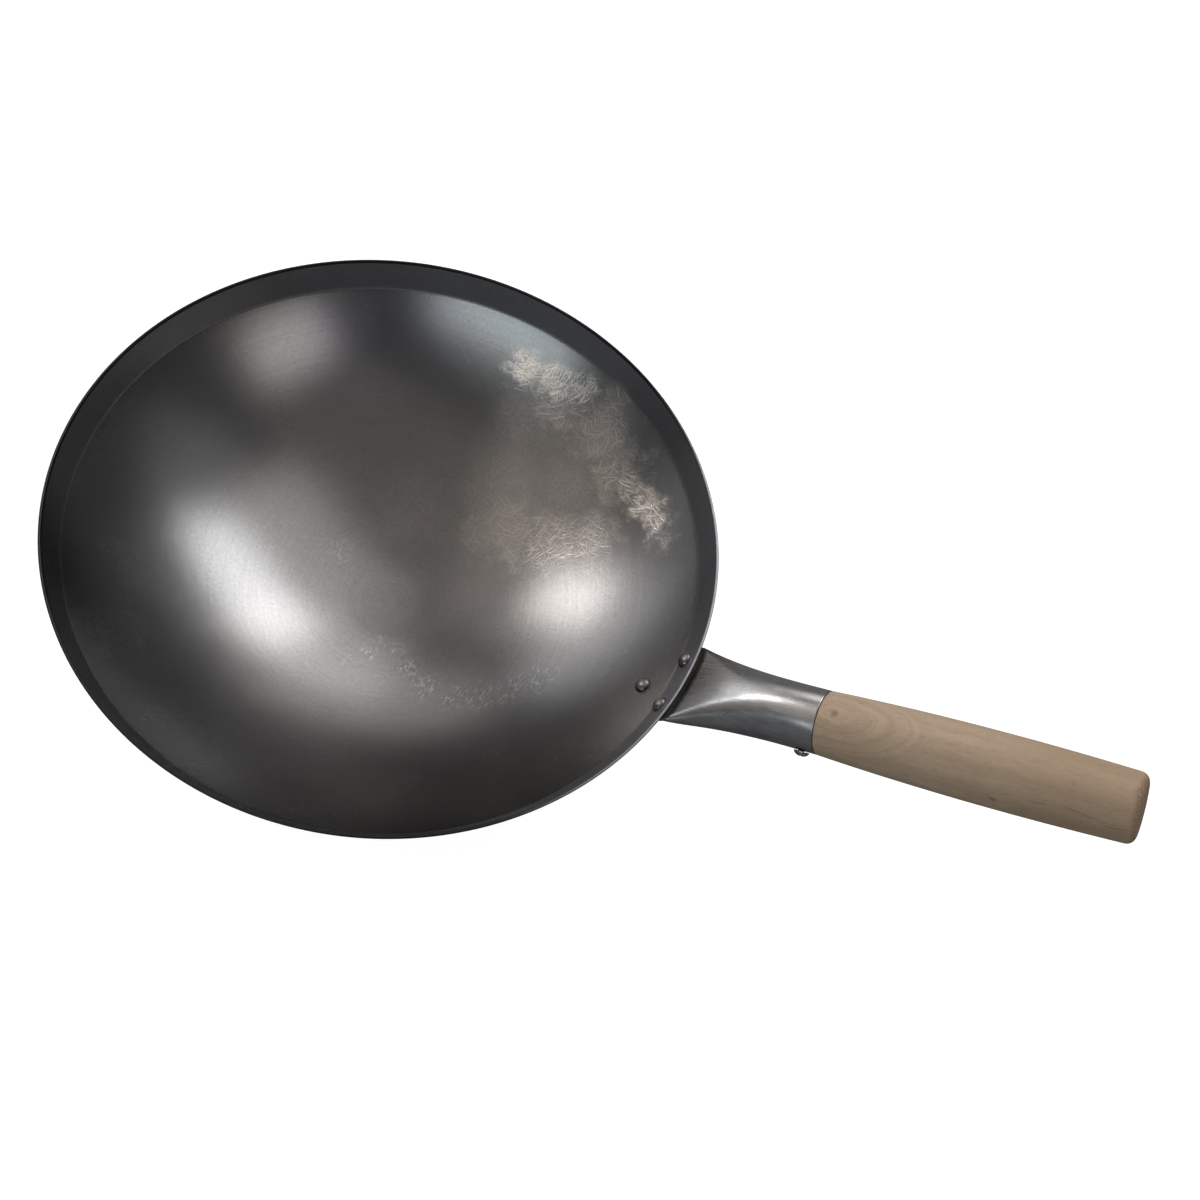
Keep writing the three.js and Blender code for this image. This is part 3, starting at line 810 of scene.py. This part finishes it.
class Finish:
    """A node material around one Principled shader, with short calls for its nodes."""

    def __init__(self, name, **constants):
        self.material = bpy.data.materials.new(name)
        self.material.use_nodes = True
        self.tree = self.material.node_tree
        self.shader = self.tree.nodes["Principled BSDF"]
        for socket, value in constants.items():
            self.shader.inputs[socket.replace("_", " ")].default_value = value

    def feed(self, socket, value):
        """Links a socket to another one, or sets its value."""
        if isinstance(value, bpy.types.NodeSocket):
            self.tree.links.new(value, socket)
        else:
            socket.default_value = value

    def node(self, kind, values, **settings):
        made = self.tree.nodes.new("ShaderNode" + kind)
        for setting, value in settings.items():
            setattr(made, setting, value)
        for socket, value in values.items():
            self.feed(made.inputs[socket], value)
        return made

    def place(self):
        return self.node("TexCoord", {}).outputs["Object"]

    def vector(self, operation, first, second=(0, 0, 0), third=(0, 0, 0)):
        return self.node("VectorMath", {0: first, 1: second, 2: third}, operation=operation).outputs[0]

    def stretched(self, where, scale):
        return self.vector("MULTIPLY", where, scale)

    def wander(self, where, scale, reach):
        """A place moved about by noise, so that what is drawn there gets an uneven edge."""
        drift = self.node("TexNoise", {"Vector": where, "Scale": scale, "Detail": 2.0}).outputs["Color"]
        drift = self.vector("SUBTRACT", drift, (0.5, 0.5, 0.5))
        return self.vector("MULTIPLY_ADD", drift, (reach, reach, reach), where)

    def spin(self, where, turn):
        values = {"Vector": where, "Angle": turn}
        return self.node("VectorRotate", values, rotation_type="Z_AXIS").outputs[0]

    def length(self, where):
        return self.node("VectorMath", {0: where}, operation="LENGTH").outputs["Value"]

    def distance(self, where, point):
        return self.node("VectorMath", {0: where, 1: point}, operation="DISTANCE").outputs["Value"]

    def dot(self, where, direction):
        return self.node("VectorMath", {0: where, 1: direction}, operation="DOT_PRODUCT").outputs["Value"]

    def height(self, where):
        return self.node("SeparateXYZ", {0: where}).outputs["Z"]

    def in_plane(self, across, up):
        return self.node("CombineXYZ", {"X": across, "Y": up}).outputs[0]

    def noise(self, where, scale, detail=2.0, roughness=0.5, distortion=0.0):
        """Noise from 0 to 1. scale is how many of its waves go into a metre."""
        values = {"Vector": where, "Scale": scale, "Detail": detail}
        values.update({"Roughness": roughness, "Distortion": distortion})
        return self.node("TexNoise", values).outputs[0]

    def lines(self, value, scale, detail=2.0):
        """Noise along one value, which makes rings out of a radius."""
        values = {"W": value, "Scale": scale, "Detail": detail}
        return self.node("TexNoise", values, noise_dimensions="1D").outputs[0]

    def cells(self, where, scale):
        return self.node("TexVoronoi", {"Vector": where, "Scale": scale}).outputs[0]

    def math(self, operation, first, second=0.0, third=0.0):
        values = {0: first, 1: second, 2: third}
        return self.node("Math", values, operation=operation).outputs[0]

    def ease(self, value, low, high, to_low=0.0, to_high=1.0):
        """A smooth step between two ends, as the value goes from low to high. low may be the larger one."""
        values = {"Value": value, "From Min": low, "From Max": high, "To Min": to_low, "To Max": to_high}
        return self.node("MapRange", values, interpolation_type="SMOOTHSTEP").outputs[0]

    def mix(self, share, first, second, blend="MIX"):
        values = {0: share, 6: first, 7: second}
        return self.node("Mix", values, data_type="RGBA", blend_type=blend).outputs[2]

    def bump(self, height, distance):
        values = {"Height": height, "Strength": 1.0, "Distance": distance}
        return self.node("Bump", values).outputs[0]

    def shade(self, **links):
        for socket, value in links.items():
            self.tree.links.new(value, self.shader.inputs[socket.replace("_", " ")])
        return self.material


def covered(finish, where, spots, core=SPOT_CORE):
    """How strongly a place is covered by the strongest of some spots on the bowl's wall."""
    cover = 0.0
    for degrees, radius, reach, strength in spots:
        away = finish.distance(where, on_wall(degrees, radius))
        cover = finish.math("MAXIMUM", finish.ease(away, reach, reach * core, 0.0, strength), cover)
    return cover


def strokes(finish, plane, degrees, length, spacing, width):
    """Needle strokes in a plane, one in each long cell, each turned a little its own way."""
    cells = finish.stretched(finish.spin(plane, math.radians(degrees)), (1 / length, 1 / spacing, 0))
    nearest = finish.node("TexVoronoi", {"Vector": cells, "Scale": 1.0}, voronoi_dimensions="2D").outputs
    offset = finish.stretched(finish.vector("SUBTRACT", cells, nearest["Position"]), (length, spacing, 0))
    chance = finish.node("SeparateColor", {0: nearest["Color"]}).outputs
    swing = finish.math("MULTIPLY_ADD", chance["Red"], STROKE_SWING, -STROKE_SWING / 2)
    parts = finish.node("SeparateXYZ", {0: finish.spin(offset, swing)}).outputs
    thin = finish.ease(finish.math("ABSOLUTE", parts["Y"]), width, width * 0.2)
    short = finish.ease(finish.math("ABSOLUTE", parts["X"]), length * 0.55, length * 0.3)
    weight = finish.math("MULTIPLY_ADD", chance["Green"], 0.6, 0.4)
    return finish.math("MULTIPLY", finish.math("MULTIPLY", thin, short), weight)


def dried_film(finish, where):
    """How much dried oil lies at a place, and how far its needles stand up.
    Strokes cross in it, and it is hazy where it is thick."""
    level = math.cos(FILM_TILT)
    along = (-math.sin(FILM_AZIMUTH), math.cos(FILM_AZIMUTH), 0)
    up = (math.cos(FILM_AZIMUTH) * level, math.sin(FILM_AZIMUTH) * level, math.sin(FILM_TILT))
    curved = finish.wander(where, STROKE_BEND_SCALE, STROKE_BEND)
    plane = finish.in_plane(finish.dot(curved, along), finish.dot(curved, up))
    needles = 0.0
    for degrees, length, spacing in STROKE_LAYERS:
        layer = strokes(finish, plane, degrees, length, spacing, STROKE_WIDTH)
        needles = finish.math("MAXIMUM", layer, needles)

    cover = covered(finish, finish.wander(where, EDGE_SCALE, FILM_EDGE), FILM_SPOTS)
    lines = finish.math("MULTIPLY", needles, finish.math("POWER", cover, 1.7))
    haze = finish.ease(finish.noise(where, 160, 4, 0.6), 0.3, 0.75, 0.30, 0.62)
    haze = finish.math("MULTIPLY", haze, finish.math("POWER", cover, 3.0))
    veil = finish.math("MULTIPLY_ADD", cover, FILM_VEIL, haze)
    return finish.math("MAXIMUM", lines, veil), finish.math("MULTIPLY", needles, cover)


def bowl_tone(finish, where, radius, mottle, grain, rings):
    """How light the bowl's steel is, as a share of its colour: scratches, faint rings and painted shade on
    one side.
    """
    plan = finish.stretched(where, (1, 1, 0))
    tone = finish.ease(mottle, 0.3, 0.7, 0.97, 1.03)
    tone = finish.math("ADD", tone, finish.ease(rings, 0.3, 0.7, -0.02, 0.02))
    tone = finish.math("ADD", tone, finish.ease(grain, 0.25, 0.75, -0.07, 0.07))
    for degrees in SCRATCH_DEGREES:
        scratch = strokes(finish, plan, degrees, SCRATCH_LENGTH, SCRATCH_SPACING, SCRATCH_WIDTH)
        tone = finish.math("MULTIPLY_ADD", scratch, SCRATCH_TONE, tone)
    for ring_radius in RING_RADII:
        off_ring = finish.math("ABSOLUTE", finish.math("SUBTRACT", radius, ring_radius))
        tone = finish.math("ADD", tone, finish.ease(off_ring, RING_WIDTH, 0.0, 0.0, RING_TONE))
    # Painted shade: the wall's colour is darker on one side of the bowl
    painted_shade_side = finish.ease(finish.dot(where, PAINTED_SHADE_WAY), *PAINTED_SHADE_SPAN, 0.0, PAINTED_SHADE_TONE)
    return finish.math("ADD", tone, painted_shade_side)


def bowl_finish():
    """Spun, oiled carbon steel, with faint rings, fine scratches, ripples, a dried film of oil and painted
    light and shade.
    """
    finish = Finish("bowl_steel", Metallic=1.0)
    where = finish.place()
    radius = finish.length(finish.stretched(where, (1, 1, 0)))
    mottle = finish.noise(where, 26, 3)
    grain = finish.noise(where, 750, 3)
    rings = finish.lines(radius, 500, 3)
    film, needles = dried_film(finish, where)
    crumple = finish.ease(finish.noise(finish.stretched(where, (1, 0.4, 1)), 620, 2), 0.45, 0.70)
    rippled = covered(finish, finish.wander(where, EDGE_SCALE, RIPPLE_EDGE), RIPPLE_SPOTS)
    ripples = finish.math("MULTIPLY", crumple, rippled)

    height = finish.height(where)
    above_crease = finish.math("SUBTRACT", height, crease.y)
    band = finish.ease(above_crease, -CREASE_LINE / 2, CREASE_LINE)
    # Partly wear, partly a painted highlight: a thin lighter line along the crease
    crease_wear_and_highlight = finish.ease(finish.math("ABSOLUTE", above_crease), CREASE_LINE, CREASE_LINE / 6, 0.0, 0.6)
    # Painted light on one side of the bowl, which lightens the band and lifts the rim's painted shade
    painted_light_side = finish.ease(finish.dot(where, PAINTED_LIGHT_WAY), *PAINTED_LIGHT_SPAN)
    # Painted shade along the rim's edge, less dark on the side with painted light
    rim_shade = finish.ease(finish.math("SUBTRACT", rim_height, height), *RIM_SHADE_SPAN)
    rim_shade = finish.math("MULTIPLY", rim_shade, finish.math("MULTIPLY_ADD", painted_light_side, -0.8, 1.0))
    tone = bowl_tone(finish, where, radius, mottle, grain, rings)
    # Painted glints: the ripples lighten the steel's colour
    tone = finish.math("MULTIPLY_ADD", ripples, RIPPLE_GLINT_TONE, tone)
    tone = finish.math("MULTIPLY_ADD", finish.math("MULTIPLY", painted_light_side, band), PAINTED_LIGHT_TONE, tone)

    green = covered(finish, where, (GREEN_SPOT,), TINT_CORE)
    green = finish.math("MULTIPLY", green, finish.ease(radius, *GREEN_RADIUS_SPAN))
    colour = finish.mix(green, BARE_STEEL, GREEN_STEEL)
    colour = finish.mix(covered(finish, where, (BLUE_SPOT,), TINT_CORE), colour, BLUE_STEEL)
    # Painted sheen: a paler bluish patch of the wall's colour
    colour = finish.mix(covered(finish, where, (PAINTED_SHEEN_SPOT,), TINT_CORE), colour, PAINTED_SHEEN_STEEL)
    colour = finish.mix(band, colour, BAND_STEEL)
    colour = finish.mix(crease_wear_and_highlight, colour, CREASE_WEAR_AND_HIGHLIGHT)
    colour = finish.mix(1.0, colour, tone, "MULTIPLY")
    colour = finish.mix(rim_shade, colour, RIM_SHADE_STEEL)
    colour = finish.mix(film, colour, DRIED_OIL)
    roughness = finish.ease(mottle, 0.25, 0.75, 0.258, 0.278)
    roughness = finish.math("MULTIPLY_ADD", film, 0.18, roughness)
    roughness = finish.math("MULTIPLY_ADD", band, 0.12, roughness)

    relief = finish.math("ADD", rings, grain)
    relief = finish.math("MULTIPLY_ADD", ripples, RIPPLE_HEIGHT, relief)
    relief = finish.math("MULTIPLY_ADD", needles, NEEDLE_HEIGHT, relief)
    return finish.shade(Base_Color=colour, Roughness=roughness, Normal=finish.bump(relief, BOWL_RELIEF))


def socket_finish():
    """Smooth pressed tube: browned with painted shade beside the bowl, bluer with painted shade on its -Y
    side, with streaks along it and pits.
    """
    finish = Finish("socket_steel", Metallic=1.0)
    where = finish.place()
    corner = (bend_corner.x, 0, bend_corner.y)
    along = finish.dot(finish.vector("SUBTRACT", where, corner), (handle_along.x, 0, handle_along.y))
    across = finish.dot(where, (0, -1, 0))
    mottle = finish.noise(where, 70, 5, 0.65)
    streaks = finish.noise(finish.in_plane(finish.math("MULTIPLY", along, 0.04), across), 1600, 3)
    pits = finish.ease(finish.cells(where, 110), 0.055, 0.02)

    # Brown tint with painted shade near the bend, and a bluish painted shade on the -Y side
    browned_shade = finish.ease(along, *BROWNED_SHADE_SPAN)
    cool_shade = finish.ease(across, *COOL_SHADE_SPAN, 0.0, 0.8)
    tone = finish.ease(mottle, 0.3, 0.7, 0.80, 1.08)
    tone = finish.math("ADD", tone, finish.ease(streaks, 0.3, 0.7, -0.08, 0.08))
    colour = finish.mix(browned_shade, SOCKET_STEEL, SOCKET_BROWNED_SHADE)
    colour = finish.mix(cool_shade, colour, SOCKET_COOL_SHADE)
    colour = finish.mix(1.0, colour, tone, "MULTIPLY")
    colour = finish.mix(finish.math("MULTIPLY", pits, 0.4), colour, SOCKET_PIT)
    roughness = finish.ease(mottle, 0.3, 0.7, 0.33, 0.25)
    roughness = finish.math("ADD", roughness, finish.ease(streaks, 0.4, 0.8, 0.0, 0.05))
    relief = finish.math("SUBTRACT", streaks, finish.math("MULTIPLY", pits, 4.0))
    return finish.shade(Base_Color=colour, Roughness=roughness, Normal=finish.bump(relief, SOCKET_RELIEF))


def rivet_finish():
    """Dark hammered rivet steel."""
    finish = Finish("rivet_steel", Metallic=1.0)
    mottle = finish.noise(finish.place(), 450, 4)
    colour = finish.mix(finish.ease(mottle, 0.35, 0.65), RIVET_DARK, RIVET_LIGHT)
    roughness = finish.ease(mottle, 0.3, 0.7, 0.38, 0.28)
    return finish.shade(Base_Color=colour, Roughness=roughness, Normal=finish.bump(mottle, RIVET_RELIEF))


def screw_finish():
    """Plated screw, a little yellow and tarnished."""
    finish = Finish("screw_steel", Metallic=1.0)
    mottle = finish.noise(finish.place(), 700, 4, 0.6)
    colour = finish.mix(finish.ease(mottle, 0.35, 0.7), SCREW_DARK, SCREW_LIGHT)
    roughness = finish.ease(mottle, 0.3, 0.7, 0.30, 0.18)
    return finish.shade(Base_Color=colour, Roughness=roughness, Normal=finish.bump(mottle, SCREW_RELIEF))


def brown_lines(finish, where):
    """Thin brown lines along the grip, each on one side of it only."""
    height = finish.height(where)
    shade = 0.0
    for degrees, start, end in BROWN_LINES:
        turn = math.radians(degrees)
        off_line = finish.math("ABSOLUTE", finish.dot(where, (-math.sin(turn), math.cos(turn), 0)))
        off_middle = finish.math("ABSOLUTE", finish.math("SUBTRACT", height, (start + end) / 2))
        thin = finish.ease(off_line, *BROWN_LINE_SPAN)
        short = finish.ease(off_middle, (end - start) / 2, (end - start) / 3)
        this_side = finish.ease(finish.dot(where, (math.cos(turn), math.sin(turn), 0)), 0.0, 0.005)
        line = finish.math("MULTIPLY", finish.math("MULTIPLY", thin, short), this_side)
        shade = finish.math("MAXIMUM", line, shade)
    return shade


def wood_marks(finish, where, loose):
    """How dark the wood's marks are: the knot, the fleck, the brown lines and the specks of the worn end."""
    marks = finish.ease(finish.distance(loose, KNOT), *KNOT_SPAN, 0.0, 0.6)
    from_fleck = finish.distance(finish.stretched(loose, FLECK_STRETCH), FLECK * FLECK_STRETCH)
    marks = finish.math("MAXIMUM", finish.ease(from_fleck, *FLECK_SPAN, 0.0, 0.75), marks)
    marks = finish.math("MAXIMUM", finish.math("MULTIPLY", brown_lines(finish, loose), 0.45), marks)
    end = SOCKET_LENGTH + GRIP_LENGTH
    worn = finish.ease(finish.height(loose), end - GRIP_END_ROUNDING * 0.9, end - GRIP_END_ROUNDING * 0.2)
    specks = finish.ease(finish.noise(where, 900, 3), 0.35, 0.6, 0.15, 0.6)
    return finish.math("MAXIMUM", finish.math("MULTIPLY", worn, specks), marks)


def wood_finish():
    """Raw sanded wood: the grain runs along the handle and curls round a knot, with painted shade towards the
    far end.
    """
    finish = Finish("grip_wood", Specular_IOR_Level=0.25)
    where = finish.place()
    loose = finish.wander(where, GRAIN_BEND_SCALE, GRAIN_BEND)
    growth = finish.noise(finish.stretched(loose, (1, 1, 0.07)), 170, 4, 0.6)
    from_knot = finish.distance(finish.stretched(loose, KNOT_STRETCH), KNOT * KNOT_STRETCH)
    curls = finish.lines(from_knot, 420, 3)
    figure = finish.mix(finish.ease(from_knot, *CURL_SPAN), growth, curls)
    clouds = finish.noise(finish.stretched(where, (1, 1, 0.5)), 60, 4, 0.55, 0.5)
    pores = finish.noise(finish.stretched(loose, (1, 1, 0.14)), 1700, 2)
    fibres = finish.noise(finish.stretched(where, (1, 1, 0.03)), 1800, 2)
    # Painted shade: the grip darkens towards its far end
    far_shade = finish.ease(finish.height(where), *FAR_SHADE_SPAN, 0.0, 0.5)

    colour = finish.mix(finish.ease(figure, 0.3, 0.7), WOOD_DARK, WOOD_LIGHT)
    colour = finish.mix(finish.ease(clouds, 0.35, 0.75, 0.0, 0.5), colour, WOOD_CLOUD)
    colour = finish.mix(far_shade, colour, WOOD_FAR_SHADE)
    colour = finish.mix(finish.ease(pores, 0.55, 0.72, 0.0, 0.36), colour, WOOD_PORE)
    colour = finish.mix(wood_marks(finish, where, loose), colour, WOOD_MARK)
    roughness = finish.ease(fibres, 0.3, 0.7, 0.62, 0.75)
    relief = finish.math("SUBTRACT", fibres, finish.ease(pores, 0.57, 0.70))
    return finish.shade(Base_Color=colour, Roughness=roughness, Normal=finish.bump(relief, WOOD_RELIEF))


def floor_finish():
    """Matt white paper on a light table."""
    finish = Finish("floor_paper", Roughness=0.9, Emission_Strength=FLOOR_GLOW, Emission_Color=(1, 1, 1, 1))
    tone = finish.noise(finish.place(), 3, 2)
    colour = finish.mix(finish.ease(tone, 0.3, 0.7), FLOOR_WHITE, FLOOR_SHADE)
    return finish.shade(Base_Color=colour)


# Floor, lights and camera

def add_floor():
    """A white floor and walls round the lights, which only the camera sees and which cast no shadow."""
    outline = [(0, 0)]
    for angle in spread(0, math.pi / 2, SWEEP_STEPS):
        outline.append((
            ROOM_RADIUS - SWEEP_RADIUS * (1 - math.sin(angle)), SWEEP_RADIUS * (1 - math.cos(angle)),
        ))
    outline += [(ROOM_RADIUS, ROOM_HEIGHT), (0, ROOM_HEIGHT)]
    floor = add_object("floor", turned(outline, ROOM_SIDES))
    floor.data.materials.append(floor_finish())
    floor.visible_diffuse = False
    floor.visible_glossy = False
    floor.visible_shadow = False


def add_lights():
    for name, (azimuth, elevation, width, height, brightness, colour) in SOFT_LIGHTS.items():
        data = bpy.data.lights.new(name, "AREA")
        data.shape = "RECTANGLE"
        data.size = 2 * LIGHT_DISTANCE * math.tan(math.radians(width) / 2)
        data.size_y = 2 * LIGHT_DISTANCE * math.tan(math.radians(height) / 2)
        data.energy = brightness * math.pi * data.size * data.size_y
        data.color = colour
        rise = math.radians(elevation)
        way = polar(math.cos(rise), math.radians(azimuth), math.sin(rise))
        light = bpy.data.objects.new(name, data)
        light.location = LIGHT_AIM + way * LIGHT_DISTANCE
        light.rotation_euler = (-way).to_track_quat("-Z", "Y").to_euler()
        bpy.context.collection.objects.link(light)


def add_room():
    """The dim room that the steel mirrors, shaded by how high a direction points."""
    world = bpy.data.worlds.new("room")
    world.use_nodes = True
    nodes = world.node_tree.nodes
    links = world.node_tree.links
    direction = nodes.new("ShaderNodeTexCoord")
    height = nodes.new("ShaderNodeSeparateXYZ")
    share = nodes.new("ShaderNodeMapRange")
    share.inputs["From Min"].default_value = -1.0
    shades = nodes.new("ShaderNodeValToRGB")
    stops = shades.color_ramp.elements
    stops[0].color = ROOM_BELOW
    stops[1].color = ROOM_ABOVE
    for level, shade in ((FLOOR_NEAR, ROOM_FLOOR), (FLOOR_FAR, ROOM_FLOOR), (0.0, ROOM_ABOVE)):
        stops.new((level + 1) / 2).color = shade
    links.new(direction.outputs["Generated"], height.inputs[0])
    links.new(height.outputs["Z"], share.inputs["Value"])
    links.new(share.outputs[0], shades.inputs[0])
    links.new(shades.outputs["Color"], nodes["Background"].inputs["Color"])
    bpy.context.scene.world = world


def add_camera():
    data = bpy.data.cameras.new("camera")
    data.sensor_width = SENSOR_MILLIMETRES
    data.lens = SENSOR_MILLIMETRES * FOCAL_PIXELS / PHOTO_PIXELS
    along = CAMERA_ALONG.normalized()
    right = along.cross(CAMERA_UP).normalized()
    up = right.cross(along)
    camera = bpy.data.objects.new("camera", data)
    turn = Matrix((right, up, -along)).transposed().to_4x4()
    camera.matrix_world = Matrix.Translation(CAMERA_PLACE) @ turn
    bpy.context.collection.objects.link(camera)
    bpy.context.scene.camera = camera


add_camera()
add_floor()
add_lights()
add_room()
bpy.context.scene.view_settings.view_transform = "Standard"

outline = [(point.x, point.y) for point in bowl_outline()]
dress(add_object("bowl_look", turned(outline, BOWL_SIDES)), "bowl", bowl_finish())
dress(add_object("handle_socket_look", socket_shape()), "handle_socket", socket_finish())
grip = add_object("handle_grip_look", turned(grip_outline(), GRIP_SIDES), handle_frame)
dress(grip, "handle_grip", wood_finish())
rivet_steel = rivet_finish()
for number, (node, place) in enumerate(rivet_frames.items()):
    rivet = add_object(node + "_look", rivet_shape(number * HAMMER_TURN), place)
    dress(rivet, node, rivet_steel)
dress(add_screw(), "handle_screw", screw_finish())
